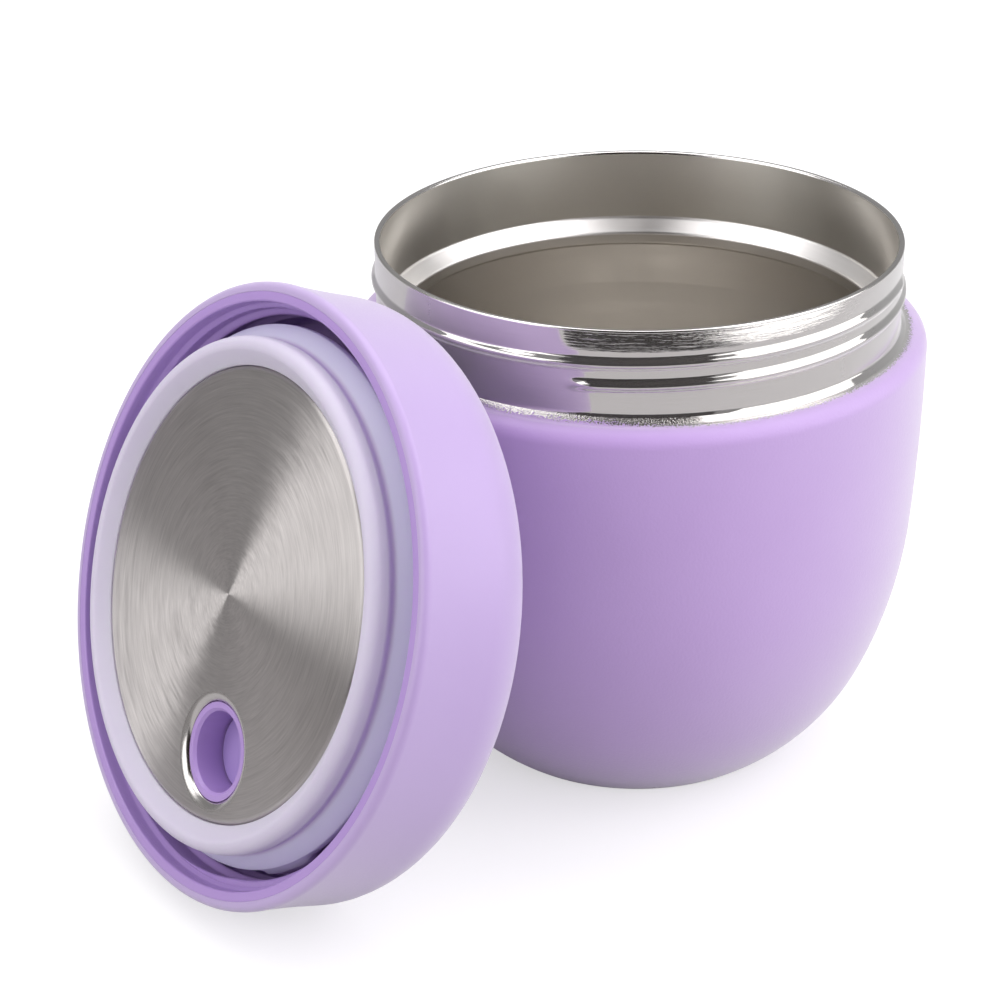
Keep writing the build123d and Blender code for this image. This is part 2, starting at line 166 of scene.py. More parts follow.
# ------------------------------------------------------------------ modelling
def turned(name, outline, steps=256, crease=32):
    """A skin turned round the Z axis from an outline of (radius, height) points in millimetres."""
    bpy.ops.object.select_all(action="DESELECT")
    bpy.ops.mesh.primitive_plane_add(size=MM)
    piece = bpy.context.object
    piece.name = name
    bpy.ops.object.mode_set(mode="EDIT")
    bpy.ops.mesh.select_all(action="SELECT")
    bpy.ops.mesh.merge(type="CENTER")
    bpy.ops.transform.translate(value=(outline[0][0] * MM, 0, outline[0][1] * MM))
    for here, there in zip(outline, outline[1:]):
        step = ((there[0] - here[0]) * MM, 0, (there[1] - here[1]) * MM)
        bpy.ops.mesh.extrude_region_move(TRANSFORM_OT_translate={"value": step})
    bpy.ops.mesh.select_all(action="SELECT")
    bpy.ops.mesh.remove_doubles(threshold=0.004 * MM)
    bpy.ops.mesh.select_all(action="SELECT")
    bpy.ops.mesh.spin(steps=steps, angle=2 * pi, center=(0, 0, 0), axis=(0, 0, 1))
    bpy.ops.mesh.select_all(action="SELECT")
    bpy.ops.mesh.remove_doubles(threshold=0.004 * MM)
    bpy.ops.mesh.normals_make_consistent(inside=False)
    bpy.ops.object.mode_set(mode="OBJECT")
    smooth(piece, crease)
    return piece


def smooth(piece, crease=32):
    """Shades a piece smooth, apart from edges sharper than crease in degrees."""
    bpy.ops.object.select_all(action="DESELECT")
    bpy.context.view_layer.objects.active = piece
    piece.select_set(True)
    bpy.ops.object.shade_smooth_by_angle(angle=radians(crease))


def set_in_place(piece, place):
    """Moves a piece that was turned upright to its place and leaves its object at the origin."""
    piece.matrix_world = place
    bpy.ops.object.select_all(action="DESELECT")
    bpy.context.view_layer.objects.active = piece
    piece.select_set(True)
    bpy.ops.object.transform_apply(location=True, rotation=True, scale=True)
    return piece


def merged_copy(node, name, crease=32):
    """A copy of a CAD node with its triangles joined and its curved faces shaded smooth."""
    bpy.ops.object.select_all(action="DESELECT")
    piece = frame["nodes"][node].copy()
    piece.data = piece.data.copy()
    piece.name = name
    for key in list(piece.keys()):
        del piece[key]
    piece.parent = None
    bpy.context.scene.collection.objects.link(piece)
    bpy.context.view_layer.objects.active = piece
    piece.select_set(True)
    bpy.ops.mesh.customdata_custom_splitnormals_clear()
    bpy.ops.object.mode_set(mode="EDIT")
    bpy.ops.mesh.select_all(action="SELECT")
    bpy.ops.mesh.remove_doubles(threshold=0.001 * MM)
    bpy.ops.object.mode_set(mode="OBJECT")
    smooth(piece, crease)
    return piece


def cut(piece, cutter):
    """Takes the cutter's form out of the piece."""
    bpy.ops.object.select_all(action="DESELECT")
    bpy.context.view_layer.objects.active = piece
    piece.select_set(True)
    modifier = piece.modifiers.new("cut", "BOOLEAN")
    modifier.operation = "DIFFERENCE"
    modifier.object = cutter
    modifier.solver = "EXACT"
    bpy.ops.object.modifier_apply(modifier="cut")
    bpy.data.objects.remove(cutter)
    smooth(piece)
    return piece


def join(pieces):
    """Joins pieces of one finish into the first of them."""
    bpy.ops.object.select_all(action="DESELECT")
    for piece in pieces:
        piece.select_set(True)
    bpy.context.view_layer.objects.active = pieces[0]
    bpy.ops.object.join()
    return pieces[0]


def finish_piece(piece, material, body, slot, *nodes):
    """Gives a piece its material and its body, and the CAD nodes that it replaces; slot is not used."""
    piece.data.materials.clear()
    piece.data.materials.append(material)
    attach(piece, body)
    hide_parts(*nodes)
    return piece


# ------------------------------------------------------------------ materials
def linear(red, green, blue):
    """A finish's colour, given as on a colour card from 0 to 255, in the units of the shaders."""
    return [((c / 255 + 0.055) / 1.055) ** 2.4 for c in (red, green, blue)] + [1.0]


def group_socket(group, name, way, kind):
    """Adds an input or output to a shared group."""
    return group.interface.new_socket(name=name, in_out=way, socket_type=kind)


def grain_group():
    """Fine grain of a moulded, sprayed or blasted surface, and slow cloudiness under it."""
    group = bpy.data.node_groups.new("surface_grain", "ShaderNodeTree")
    group_socket(group, "Grain size", "INPUT", "NodeSocketFloat")
    group_socket(group, "Cloud size", "INPUT", "NodeSocketFloat")
    group_socket(group, "Grain", "OUTPUT", "NodeSocketFloat")
    group_socket(group, "Cloud", "OUTPUT", "NodeSocketFloat")
    nodes, links = group.nodes, group.links
    inputs = nodes.new("NodeGroupInput")
    outputs = nodes.new("NodeGroupOutput")
    place = nodes.new("ShaderNodeTexCoord")
    for size, out in (("Grain size", "Grain"), ("Cloud size", "Cloud")):
        density = nodes.new("ShaderNodeMath")
        density.operation = "DIVIDE"
        density.inputs[0].default_value = 1 / MM
        links.new(inputs.outputs[size], density.inputs[1])
        noise = nodes.new("ShaderNodeTexNoise")
        noise.inputs["Detail"].default_value = 2.5
        links.new(place.outputs["Object"], noise.inputs["Vector"])
        links.new(density.outputs[0], noise.inputs["Scale"])
        links.new(noise.outputs["Fac"], outputs.inputs[out])
    return group


def turning_group():
    """Fine lines left by turning or brushing round an axis, and how far a point lies from that axis."""
    group = bpy.data.node_groups.new("turning_lines", "ShaderNodeTree")
    group_socket(group, "Centre", "INPUT", "NodeSocketVector")
    group_socket(group, "Axis", "INPUT", "NodeSocketVector")
    group_socket(group, "Lines per mm", "INPUT", "NodeSocketFloat")
    group_socket(group, "Strokes round", "INPUT", "NodeSocketFloat")
    group_socket(group, "Lines", "OUTPUT", "NodeSocketFloat")
    group_socket(group, "Radius", "OUTPUT", "NodeSocketFloat")
    group_socket(group, "Height", "OUTPUT", "NodeSocketFloat")
    nodes, links = group.nodes, group.links
    inputs = nodes.new("NodeGroupInput")
    outputs = nodes.new("NodeGroupOutput")

    def vector_math(operation, first, second=None):
        node = nodes.new("ShaderNodeVectorMath")
        node.operation = operation
        links.new(first, node.inputs[0])
        if second:
            links.new(second, node.inputs["Scale" if operation == "SCALE" else 1])
        return node

    def number(operation, first, second):
        node = nodes.new("ShaderNodeMath")
        node.operation = operation
        links.new(first, node.inputs[0])
        if isinstance(second, float):
            node.inputs[1].default_value = second
        else:
            links.new(second, node.inputs[1])
        return node.outputs[0]

    place = nodes.new("ShaderNodeTexCoord")
    offset = vector_math("SUBTRACT", place.outputs["Object"], inputs.outputs["Centre"]).outputs[0]
    height = vector_math("DOT_PRODUCT", offset, inputs.outputs["Axis"]).outputs["Value"]
    along = vector_math("SCALE", inputs.outputs["Axis"], height).outputs[0]
    across = vector_math("SUBTRACT", offset, along).outputs[0]
    radius = vector_math("LENGTH", across).outputs["Value"]
    round_way = vector_math("NORMALIZE", across).outputs[0]
    strokes = vector_math("SCALE", round_way, inputs.outputs["Strokes round"]).outputs[0]
    radius_mm = number("MULTIPLY", radius, 1 / MM)
    height_mm = number("MULTIPLY", height, 1 / MM)
    rise = vector_math(
        "SCALE", inputs.outputs["Axis"], number("MULTIPLY", height_mm, inputs.outputs["Lines per mm"])
    ).outputs[0]
    point = vector_math("ADD", strokes, rise).outputs[0]
    noise = nodes.new("ShaderNodeTexNoise")
    noise.noise_dimensions = "4D"
    noise.inputs["Scale"].default_value = 1.0
    noise.inputs["Detail"].default_value = 3.0
    noise.inputs["Roughness"].default_value = 0.6
    links.new(point, noise.inputs["Vector"])
    links.new(number("MULTIPLY", radius_mm, inputs.outputs["Lines per mm"]), noise.inputs["W"])
    links.new(noise.outputs["Fac"], outputs.inputs["Lines"])
    links.new(radius_mm, outputs.inputs["Radius"])
    links.new(height_mm, outputs.inputs["Height"])
    return group


surface_grain = grain_group()
turning_lines = turning_group()


class Finish:
    """A material with its shader, and short ways to add the nodes that finishes share."""

    def __init__(self, name, colour, roughness, metallic=0.0):
        self.material = bpy.data.materials.new(name)
        self.material.use_nodes = True
        self.material.diffuse_color = colour
        self.nodes = self.material.node_tree.nodes
        self.links = self.material.node_tree.links
        self.shader = self.nodes["Principled BSDF"]
        self.shader.inputs["Base Color"].default_value = colour
        self.shader.inputs["Roughness"].default_value = roughness
        self.shader.inputs["Metallic"].default_value = metallic

    def group(self, tree, **values):
        """Places a shared group with its own values."""
        node = self.nodes.new("ShaderNodeGroup")
        node.node_tree = tree
        for name, value in values.items():
            node.inputs[name.replace("_", " ")].default_value = value
        return node

    def spread(self, source, low, high, out_low, out_high):
        """Maps a value that runs from low to high to another range."""
        node = self.nodes.new("ShaderNodeMapRange")
        node.interpolation_type = "SMOOTHSTEP"
        self.links.new(source, node.inputs["Value"])
        names = ("From Min", "From Max", "To Min", "To Max")
        for name, value in zip(names, (low, high, out_low, out_high)):
            node.inputs[name].default_value = value
        return node.outputs["Result"]

    def math(self, operation, first, second):
        """Joins two numbers or outputs by an operation."""
        node = self.nodes.new("ShaderNodeMath")
        node.operation = operation
        for socket, value in zip(node.inputs, (first, second)):
            if isinstance(value, (int, float)):
                socket.default_value = value
            else:
                self.links.new(value, socket)
        return node.outputs[0]

    def blend(self, source, low, high):
        """Blends two colours by a value; each is a colour or another node's output."""
        node = self.nodes.new("ShaderNodeMix")
        node.data_type = "RGBA"
        self.links.new(source, node.inputs[0])
        for socket, colour in ((node.inputs[6], low), (node.inputs[7], high)):
            if isinstance(colour, list):
                socket.default_value = colour
            else:
                self.links.new(colour, socket)
        return node.outputs[2]

    def bump(self, source, height, below=None):
        """Roughens the surface by a value, with the height of its bumps in millimetres."""
        node = self.nodes.new("ShaderNodeBump")
        node.inputs["Distance"].default_value = height * MM
        self.links.new(source, node.inputs["Height"])
        if below:
            self.links.new(below, node.inputs["Normal"])
        return node.outputs["Normal"]

    def feed(self, **sources):
        """Leads outputs into the shader's sockets."""
        for name, source in sources.items():
            self.links.new(source, self.shader.inputs[name.replace("_", " ")])
        return self


LILAC = linear(183, 150, 210)
LILAC_DEEP = linear(177, 143, 205)
STEEL = linear(208, 204, 202)
STEEL_DARK = linear(192, 188, 186)
UP = (0.0, 0.0, 1.0)


def coat_edge(finish, radius, height, across, speckle):
    """Where the coat lies: on the body and, past a ragged edge, on the outer part of the shoulder.

    Gives the coat's mask and how far each point reaches towards that edge.
    """
    thin_edge = finish.spread(across, -12 * MM, 16 * MM, 1.1, 0.0)
    ragged = finish.math("MULTIPLY", finish.math("SUBTRACT", speckle.outputs["Grain"], 0.5), 3.2)
    reach = finish.math("ADD", finish.math("ADD", radius, thin_edge), ragged)
    body = finish.spread(height, SHOULDER_TOP - 1.2, SHOULDER_TOP - 0.6, 1.0, 0.0)
    shoulder = finish.math(
        "MULTIPLY",
        finish.spread(reach, COAT_EDGE + 0.2, COAT_EDGE + 0.32, 0.0, 1.0),
        finish.spread(height, SHOULDER_TOP + 1.2, SHOULDER_TOP + 2.0, 1.0, 0.0),
    )
    return finish.math("MAXIMUM", body, shoulder), reach


def coat_flecks(finish, reach, height, across, speckle):
    """Flecks of coat on the bare steel at the left of the neck's foot."""
    foot = finish.math(
        "MULTIPLY",
        finish.spread(height, SHOULDER_TOP - 0.3, SHOULDER_TOP, 0.0, 1.0),
        finish.math(
            "MULTIPLY",
            finish.spread(height, SHOULDER_TOP + 0.6, SHOULDER_TOP + 1.6, 1.0, 0.0),
            finish.spread(across, -4 * MM, 10 * MM, 1.0, 0.0),
        ),
    )
    edge = finish.math("MULTIPLY", finish.spread(reach, COAT_EDGE - 1.2, COAT_EDGE, 0.0, 1.0), foot)
    return finish.math("MULTIPLY", speckle.outputs["Grain"], edge)


def scratched_band(finish, height, place):
    """The scratched band under the rim at the neck's front, as the depth of its wear."""
    worn = finish.math(
        "MULTIPLY",
        finish.spread(place.outputs["X"], -16 * MM, -11 * MM, 0.0, 1.0),
        finish.math(
            "MULTIPLY",
            finish.spread(place.outputs["X"], 22 * MM, 40 * MM, 1.0, 0.0),
            finish.spread(place.outputs["Y"], -20 * MM, -10 * MM, 1.0, 0.0),
        ),
    )
    scratches = finish.group(turning_lines, Axis=UP, Lines_per_mm=2.2, Strokes_round=7.0)
    waver = finish.math("MULTIPLY", scratches.outputs["Lines"], 0.7)
    wear = finish.spread(finish.math("ADD", height, waver), 96.0, 103.0, 0.0, -1.0)
    return finish.math("MULTIPLY", wear, worn)


def coat_and_steel():
    """Powder coat on the body and bare polished steel on the neck, with a ragged edge between."""
    finish = Finish("lilac_coat_and_neck_steel", LILAC, 0.45)
    finish.shader.inputs["Sheen Weight"].default_value = 0.8
    finish.shader.inputs["Sheen Roughness"].default_value = 0.6
    grain = finish.group(surface_grain, Grain_size=0.5, Cloud_size=22.0)
    speckle = finish.group(surface_grain, Grain_size=0.3, Cloud_size=3.0)
    lines = finish.group(turning_lines, Axis=UP, Lines_per_mm=7.0, Strokes_round=6.0)
    radius, height = lines.outputs["Radius"], lines.outputs["Height"]
    place = finish.nodes.new("ShaderNodeSeparateXYZ")
    finish.links.new(finish.nodes.new("ShaderNodeTexCoord").outputs["Object"], place.inputs[0])
    across = place.outputs["X"]

    coat, reach = coat_edge(finish, radius, height, across, speckle)
    bare = finish.math("SUBTRACT", 1.0, coat)
    lilac = finish.blend(grain.outputs["Cloud"], LILAC, LILAC_DEEP)
    steel = finish.blend(lines.outputs["Lines"], STEEL_DARK, STEEL)
    coat_rough = finish.spread(grain.outputs["Grain"], 0.3, 0.7, 0.38, 0.48)
    steel_rough = finish.math(
        "MULTIPLY",
        finish.spread(lines.outputs["Lines"], 0.4, 0.7, 0.4, 1.6),
        finish.spread(height, 95.0, 97.0, 0.05, 0.10),
    )
    rough = finish.nodes.new("ShaderNodeMix")
    finish.links.new(coat, rough.inputs[0])
    finish.links.new(steel_rough, rough.inputs[2])
    finish.links.new(coat_rough, rough.inputs[3])

    normal = finish.bump(finish.math("MULTIPLY", grain.outputs["Grain"], coat), 0.035)
    normal = finish.bump(finish.math("MULTIPLY", lines.outputs["Lines"], bare), 0.0025, normal)
    normal = finish.bump(scratched_band(finish, height, place), 2.2, normal)
    normal = finish.bump(coat_flecks(finish, reach, height, across, speckle), 0.06, normal)
    normal = finish.bump(coat, 0.06, normal)
    return finish.feed(
        Base_Color=finish.blend(coat, steel, lilac),
        Metallic=bare,
        Roughness=rough.outputs[0],
        Normal=normal,
    ).material


def turned_steel(
    name,
    colour,
    dark,
    roughness,
    lines_per_mm=5.0,
    depth=0.0,
    anisotropic=0.3,
    contrast=0.7,
    centre=(0, 0, 0),
    axis=UP,
):
    """Steel that was turned or brushed round an axis.

    depth is the height of its lines in millimetres, and contrast is how clearly they show.
    """
    finish = Finish(name, colour, roughness, 1.0)
    lines = finish.group(
        turning_lines, Centre=centre, Axis=axis, Lines_per_mm=lines_per_mm, Strokes_round=4.0
    )
    clouds = finish.group(surface_grain, Grain_size=0.6, Cloud_size=14.0)
    finish.shader.inputs["Anisotropic"].default_value = anisotropic
    finish.shader.inputs["Anisotropic Rotation"].default_value = 0.25
    place = finish.nodes.new("ShaderNodeTexCoord")
    offset = finish.nodes.new("ShaderNodeVectorMath")
    offset.operation = "SUBTRACT"
    offset.inputs[1].default_value = centre
    finish.links.new(place.outputs["Object"], offset.inputs[0])
    round_way = finish.nodes.new("ShaderNodeVectorMath")
    round_way.operation = "CROSS_PRODUCT"
    round_way.inputs[0].default_value = axis
    finish.links.new(offset.outputs[0], round_way.inputs[1])
    finish.links.new(round_way.outputs[0], finish.shader.inputs["Tangent"])

    strokes = lines.outputs["Lines"]
    shade = finish.math("ADD", finish.math("MULTIPLY", strokes, contrast), 0.5 - contrast / 2)
    change = 0.13 * contrast
    rough = finish.math(
        "MULTIPLY",
        finish.spread(strokes, 0.3, 0.7, (1 - change) * roughness, (1 + change) * roughness),
        finish.spread(clouds.outputs["Cloud"], 0.3, 0.7, 0.92, 1.08),
    )
    if depth:
        finish.feed(Normal=finish.bump(strokes, depth))
    return finish.feed(Base_Color=finish.blend(shade, dark, colour), Roughness=rough).material


def moulded(name, colour, other_colour, roughness, grain_size, depth, soft=0.0, soft_reach=1.0):
    """Moulded plastic or rubber with a fine eroded grain."""
    finish = Finish(name, colour, roughness)
    grain = finish.group(surface_grain, Grain_size=grain_size, Cloud_size=18.0)
    finish.shader.inputs["Subsurface Weight"].default_value = soft
    finish.shader.inputs["Subsurface Radius"].default_value = (1.0, 0.8, 1.0)
    finish.shader.inputs["Subsurface Scale"].default_value = soft_reach * MM
    return finish.feed(
        Base_Color=finish.blend(grain.outputs["Cloud"], colour, other_colour),
        Roughness=finish.spread(grain.outputs["Grain"], 0.3, 0.7, roughness - 0.05, roughness + 0.05),
        Normal=finish.bump(grain.outputs["Grain"], depth),
    )


# ------------------------------------------------------------------ where the lid is
lid_out = Vector(next(j["axis"] for j in frame["joints"] if j["name"] == "seal_pull")).normalized()
level = lid_out.cross(Vector(UP)).normalized()
uphill = level.cross(lid_out)


def middle(node, direction):
    """The middle of a CAD node's reach along a direction."""
    reach = [vertex.co.dot(direction) for vertex in frame["nodes"][node].data.vertices]
    return (min(reach) + max(reach)) / 2


def front(node):
    """How far a CAD node reaches out of the lid's face."""
    return max(vertex.co.dot(lid_out) for vertex in frame["nodes"][node].data.vertices)


def upright_to_lid(node):
    """The place of a lid piece that was turned upright.

    Its axis meets the disc's face, with X down the face and Z out of it.
    """
    centre = level * middle(node, level) + uphill * middle(node, uphill) + lid_out * front("steel_disc")
    turn = Matrix((-uphill, -level, lid_out)).transposed().to_4x4()
    return Matrix.Translation(centre) @ turn


lid_place = upright_to_lid("lid_cover")
vent_place = upright_to_lid("vent_plug")
lid_centre = lid_place.translation
vent_centre = vent_place.translation


# ------------------------------------------------------------------ outer shell
def shell_outline():
    """The drawn shell: neck, shoulder, belly, heel and foot, and back up on the vacuum side."""
    neck_top = RIM_HEIGHT - RIM_SHEET
    neck_foot = SHOULDER_TOP + HOLLOW
    shoulder = (SHOULDER_RING, SHOULDER_TOP - SHOULDER_ROUNDING)
    line = stretch((NECK_RADIUS, neck_top), (NECK_RADIUS, neck_foot), 72)
    line += arc((NECK_RADIUS + HOLLOW, neck_foot), HOLLOW, 180, 270, 12)
    line += arc(shoulder, SHOULDER_ROUNDING, 90, 0, 12)
    way = bow(line, -1j, (51.75, 46.3), 10)
    way = bow(line, way, (44.9, 18.3), 14)
    bow(line, way, (FOOT_RADIUS, 0.0), 14)
    line += [(BASE_OPENING, 0.0), (BASE_OPENING, SHELL_SHEET)]
    inside = [(30.0, SHELL_SHEET)]
    way = bow(inside, cmath.rect(1, radians(36)), (44.3, 18.6), 8)
    way = bow(inside, way, (51.15, 46.3), 8)
    bow(inside, way, (52.4, shoulder[1]), 6)
    inside += arc(shoulder, SHOULDER_ROUNDING - SHELL_SHEET, 0, 90, 6)[1:]
    inside += [(49.8, SHOULDER_TOP - SHELL_SHEET), (NECK_INSIDE, neck_foot), (NECK_INSIDE, neck_top)]
    return line + inside + [line[0]]


def thread_rise(turned_by, height):
    """How far the rolled thread stands out of the neck, in millimetres.

    turned_by is in degrees from the front towards the right.
    """
    rise = 0.0
    for turns_down in (0, 1):
        travel = THREAD_START - turned_by + 360 * turns_down
        if not 0 < travel < THREAD_TURN:
            continue
        away = abs(height - (THREAD_TOP - THREAD_LEAD * travel / 360)) / THREAD_HALF_WIDTH
        if away < 1:
            fade = min(travel, THREAD_TURN - travel, THREAD_FADE) / THREAD_FADE
            rise = max(rise, (0.5 + 0.5 * cos(pi * away)) ** 0.8 * fade * fade * (3 - 2 * fade))
    return rise * THREAD_HEIGHT


def roll_neck_thread(shell):
    """Rolls the thread out of the neck's sheet."""
    for vertex in shell.data.vertices:
        x, y, z = vertex.co / MM
        if z > SHOULDER_TOP + HOLLOW and hypot(x, y) > NECK_RADIUS - 0.1:
            around = degrees(atan2(x, -y))
            if around > THREAD_START:
                around -= 360
            rise = thread_rise(around, z)
            vertex.co.x += x / hypot(x, y) * rise * MM
            vertex.co.y += y / hypot(x, y) * rise * MM
    shell.data.update()


shell = turned("jar_shell", shell_outline(), 384, 40)
roll_neck_thread(shell)
finish_piece(shell, coat_and_steel(), "jar", "lilac_coat", "outer_shell")


# ------------------------------------------------------------------ inner liner
def liner_outline():
    """The liner: rolled mouth, seal ledge, throat with its groove, bowl, and the vacuum side."""
    neck_top = RIM_HEIGHT - RIM_SHEET
    line = rounded(
        [
            (NECK_RADIUS, neck_top, 0),
            (NECK_RADIUS, RIM_HEIGHT, 0.3),
            (MOUTH_RADIUS, RIM_HEIGHT, 0.5),
            (MOUTH_RADIUS, LEDGE_TOP, 1.0),
            (THROAT_RADIUS, LEDGE_FOOT, 0.9),
            (THROAT_RADIUS, 81.5, 0.4),
            (45.1, 80.9, 0.3),
            (45.3, 79.3, 0),
        ]
    )
    way = complex(0.3, -1.6)
    bowl_floor = (BOWL_FLOOR_RADIUS, BOWL_FLOOR)
    for end, steps in (((47.0, 61.0), 10), ((46.0, 44.0), 8), ((40.5, 22.5), 12), (bowl_floor, 12)):
        way = bow(line, way / abs(way), end, steps)
    line += [(0.0, BOWL_FLOOR), (0.0, 8.2)]
    back = [(24.1, 8.2)]
    way = bow(back, cmath.rect(1, radians(16.5)), (40.9, 22.4), 6)
    way = bow(back, way, (46.4, 44.0), 6)
    bow(back, way, (47.4, 61.0), 6)
    back += [(45.7, 79.3), (45.5, 80.9), (44.75, 81.8), (44.75, 83.4)]
    back += [(47.3, 85.9), (47.3, neck_top), (NECK_RADIUS, neck_top)]
    return line + back


LINER_FINISHES = (
    turned_steel(
        "liner_satin_steel", linear(216, 212, 206), linear(208, 203, 198), 0.38, contrast=0.3
    ),
    # painted light: the ledge is the liner's own steel, painted much brighter than the bowl to stand in
    # for the top light that it catches
    turned_steel(
        "liner_ledge_steel_painted_light",
        linear(246, 243, 242),
        linear(236, 232, 231),
        0.34,
        lines_per_mm=4.0,
        depth=0.001,
        anisotropic=0.0,
    ),
    turned_steel(
        "liner_rim_steel",
        linear(232, 230, 229),
        STEEL,
        0.2,
        lines_per_mm=6.0,
        depth=0.002,
        anisotropic=0.2,
    ),
    turned_steel(
        "liner_neck_steel", linear(219, 216, 210), linear(209, 206, 200), 0.31, contrast=0.2
    ),
)
LINER_BOWL, LINER_LEDGE, LINER_RIM, LINER_NECK = range(4)

liner = turned("jar_liner", liner_outline(), 320, 50)
finish_piece(liner, LINER_FINISHES[LINER_BOWL], "jar", "liner_steel", "inner_liner")
for liner_finish in LINER_FINISHES[1:]:
    liner.data.materials.append(liner_finish)
for face in liner.data.polygons:
    height = face.center.z / MM
    if height > RIM_HEIGHT - 0.6:
        face.material_index = LINER_RIM
    elif height > LEDGE_TOP + 0.3:
        face.material_index = LINER_NECK
    elif height > LEDGE_FOOT - 0.6:
        face.material_index = LINER_LEDGE


# ------------------------------------------------------------------ foot of the jar
base = turned(
    "jar_base_cover",
    rounded([(0, 0.5, 0), (24.9, 0.5, 0.7), (24.9, 1.9, 0)])
    + rounded([(24.4, 1.9, 0), (24.4, 1.0, 0.2), (0, 1.0, 0)]),
    192,
)
finish_piece(
    base,
    turned_steel(
        "base_cover_brushed_steel",
        STEEL,
        STEEL_DARK,
        0.36,
        lines_per_mm=4.0,
        depth=0.006,
        anisotropic=0.6,
    ),
    "jar",
    "base_cover_steel",
    "base_cover",
)

# ------------------------------------------------------------------ lid
def round_rim(piece, floor, outline):
    """Takes a lid piece's square rim off down to floor and puts a rounded one in its place."""
    inner, outer = 49.0, 55.0
    ring = [(inner, 0), (outer, 0), (outer, floor), (inner, floor), (inner, 0)]
    cut(piece, set_in_place(turned("cutter", ring, 256), lid_place))
    rim = turned("rim", rounded(outline) + [outline[0][:2]], 256)
    return join([piece, set_in_place(rim, lid_place)])


cover = merged_copy("lid_cover", "lid_cover_skin")
round_rim(
    cover,
    RIM_FLOOR,
    [
        (53.529, RIM_FLOOR, 0),
        (COVER_RADIUS, RIM_LEVEL, 1.2),
        (COVER_INSIDE, RIM_LEVEL, 0.1),
        (51.727, RIM_FLOOR, 0),
    ],
)
cover_finish = moulded(
    "cover_satin_plastic",
    linear(177, 152, 203),
    linear(172, 146, 199),
    0.38,
    grain_size=0.35,
    depth=0.008,
    soft=0.1,
    soft_reach=1.2,
)
cover_finish.shader.inputs["Sheen Weight"].default_value = 0.6
cover_finish.shader.inputs["Sheen Roughness"].default_value = 0.6
finish_piece(cover, cover_finish.material, "lid", "cover_plastic", "lid_cover")

moulding = merged_copy("inner_cap", "lid_moulding")
round_rim(
    moulding,
    MOULDING_RIM_FLOOR,
    [
        (51.6, MOULDING_RIM_FLOOR, 0),
        (MOULDING_RADIUS, MOULDING_RIM_LEVEL, 0.1),
        (MOULDING_MOUTH, MOULDING_RIM_LEVEL, 0.35),
        (MOULDING_MOUTH, MOULDING_RIM_FLOOR, 0),
    ],
)
moulding_finish = moulded(
    "moulding_plastic",
    linear(176, 146, 207),
    linear(170, 139, 202),
    0.36,
    grain_size=0.4,
    depth=0.008,
    soft=0.12,
    soft_reach=1.0,
)
finish_piece(moulding, moulding_finish.material, "lid", "moulding_plastic", "inner_cap")


def skirt_ridge(turned_by, depth):
    """How far the skirt's thread ridge stands in, in millimetres."""
    rise = 0.0
    for turns_down in range(4):
        travel = turned_by + 360 * turns_down
        away = abs(depth - RIDGE_START - RIDGE_LEAD * travel / 360) / RIDGE_HALF_WIDTH
        if away < 1 and travel < RIDGE_TURN:
            fade = min(travel, RIDGE_TURN - travel, RIDGE_FADE) / RIDGE_FADE
            rise = max(rise, (0.5 + 0.5 * cos(pi * away)) ** 0.7 * fade)
    return rise * RIDGE_HEIGHT


def skirt_thread():
    """The skirt's inner wall, with the thread ridge moulded on it."""
    line = stretch((SKIRT_RADIUS, SKIRT_TOP), (SKIRT_RADIUS, SKIRT_FLOOR), 84)
    line += [(SKIRT_RADIUS, SKIRT_FLOOR), (SKIRT_BACKING, SKIRT_FLOOR)]
    line += [(SKIRT_BACKING, SKIRT_TOP), (SKIRT_RADIUS, SKIRT_TOP)]
    skirt = turned("lid_skirt_thread", line, 288, 50)
    for vertex in skirt.data.vertices:
        x, y, z = vertex.co / MM
        radius = hypot(x, y)
        if radius < (SKIRT_RADIUS + SKIRT_BACKING) / 2:
            ridge = skirt_ridge(degrees(atan2(y, x)) % 360, -z)
            vertex.co.x -= x / radius * ridge * MM
            vertex.co.y -= y / radius * ridge * MM
    skirt.data.update()
    return set_in_place(skirt, lid_place)


skirt = skirt_thread()
finish_piece(skirt, moulding_finish.material, "lid", "moulding_plastic")


# ------------------------------------------------------------------ steel disc
def disc_piece():
    """The disc with its rolled edge and the hole round the vent."""
    flat = DISC_RADIUS - 1.0
    disc = turned(
        "lid_disc",
        stretch((0, 0), (flat, 0), 19)
        + rounded([(flat, 0, 0), (DISC_RADIUS, 0, 0.95), (DISC_RADIUS, DISC_EDGE, 0)])
        + rounded([(38.5, DISC_EDGE, 0), (38.5, -DISC_SHEET, 0.3), (flat, -DISC_SHEET, 0)])
        + stretch((flat, -DISC_SHEET), (0, -DISC_SHEET), 19)
        + [(0, -DISC_SHEET)],
        256,
    )
    hole = turned("hole", [(0, 1), (LIP_RADIUS, 1), (LIP_RADIUS, -2), (0, -2)], 128)
    hole.matrix_world = lid_place.inverted() @ vent_place
    return set_in_place(cut(disc, hole), lid_place)


def lip_piece():
    """The part of the disc that is drawn in round the vent tube, a quarter of an ellipse."""
    width = LIP_RADIUS - LIP_HOLE
    outside = [
        (LIP_RADIUS - width * sin(radians(a)), LIP_DEPTH * cos(radians(a)) - LIP_DEPTH)
        for a in range(0, 91, 9)
    ]
    inside = [
        (LIP_RADIUS - 1.3 * sin(radians(a)), 0.85 * cos(radians(a)) - LIP_DEPTH)
        for a in range(90, -1, -15)
    ]
    end = [(LIP_HOLE, -1.3), (9.0, -1.3)]
    lip = turned("lid_disc_lip", outside + end + inside + [(LIP_RADIUS, 0)], 128)
    return set_in_place(lip, vent_place)


